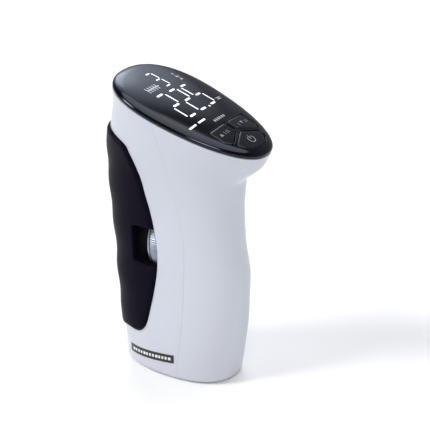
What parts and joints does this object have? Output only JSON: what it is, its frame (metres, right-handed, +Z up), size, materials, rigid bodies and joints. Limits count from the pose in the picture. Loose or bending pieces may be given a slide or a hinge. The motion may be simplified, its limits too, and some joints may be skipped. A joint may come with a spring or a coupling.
{
  "type": "hand dynamometer",
  "caption": "Hand-held grip tester: white waisted body, black scalloped sliding grip with a thumb wheel in its side window, and a tilted black egg-shaped display with keys.",
  "frame": {"origin": "centre of the bounding box on the flat underside", "axes": "+Z up the body, -X to the sliding finger grip, +X to the palm side, +Y across the body (mirror plane Y=0)"},
  "size_m": [0.0857, 0.0548, 0.1527],
  "materials": {
    "white_shell": "smooth satin white moulding",
    "gasket": "matt",
    "display_lens": "smoked and polished",
    "keys": "polished",
    "switches": "moulded",
    "display_module": "matt black",
    "lit_segments": "lit white",
    "board": "solder mask",
    "chip": "moulded",
    "screw_steel": "zinc plated",
    "chassis_steel": "stamped sheet",
    "beam_aluminium": "machined",
    "gauge_film": "foil on film",
    "wheel_metal": "knurled, satin",
    "bush_brass": "plain",
    "carrier_plastic": "moulded",
    "grip_black": "soft-touch",
    "tray_plastic": "moulded",
    "cell_wrap": "printed wrap, plain",
    "label_black": "plain strip",
    "cable_ribbon": "flat ribbon"
  },
  "bodies": {
    "housing": {"front_shell": "white_shell", "rear_shell": "white_shell", "rim_gasket": "gasket", "display_lens": "display_lens", "tact_switches": "switches", "display_module": "display_module", "display_digits": "lit_segments", "display_icons": "lit_segments", "main_board": "board", "controller_chip": "chip", "buzzer": "chip", "board_screws": "screw_steel", "chassis": "chassis_steel", "load_beam": "beam_aluminium", "strain_gauges": "gauge_film", "beam_spacers": "screw_steel", "beam_screws": "screw_steel", "thrust_washer": "screw_steel", "guide_bushes": "bush_brass", "shell_screws": "screw_steel", "battery_tray": "tray_plastic", "batteries": "cell_wrap", "battery_contacts": "screw_steel", "label_plate": "label_black", "sensor_cable": "cable_ribbon"},
    "wheel": {"adjust_wheel": "wheel_metal"},
    "grip": {"grip_cover": "grip_black", "grip_carrier": "carrier_plastic", "guide_pins": "screw_steel", "grip_screws": "screw_steel", "spindle": "screw_steel", "spindle_pin": "screw_steel"},
    "key_up": {"key_up": "keys"},
    "key_down": {"key_down": "keys"},
    "key_set": {"key_set": "keys"},
    "door": {"battery_door": "white_shell"}
  },
  "joints": [
    {"name": "wheel_turn", "type": "hinge", "parent": "housing", "child": "wheel", "pos_m": [0, 0, 0.071], "axis": [1, 0, 0], "range_deg": [0, 1440]},
    {"name": "grip_slide", "type": "slide", "parent": "housing", "child": "grip", "axis": [-1, 0, 0], "range_m": [0, 0.012]},
    {"name": "battery_door_lift", "type": "slide", "parent": "housing", "child": "door", "axis": [0, 0, -1], "range_m": [0, 0.02]},
    {"name": "key_up_press", "type": "slide", "parent": "housing", "child": "key_up", "axis": [-0.3305, 0, -0.9438], "range_m": [0, 0.0005], "stiffness_N_per_m": 800},
    {"name": "key_down_press", "type": "slide", "parent": "housing", "child": "key_down", "axis": [-0.3305, 0, -0.9438], "range_m": [0, 0.0005], "stiffness_N_per_m": 800},
    {"name": "key_set_press", "type": "slide", "parent": "housing", "child": "key_set", "axis": [-0.3305, 0, -0.9438], "range_m": [0, 0.0005], "stiffness_N_per_m": 800}
  ],
  "couplings": [
    {"joint": "wheel_turn", "follows": "grip_slide", "rad_per_m": 2094}
  ]
}
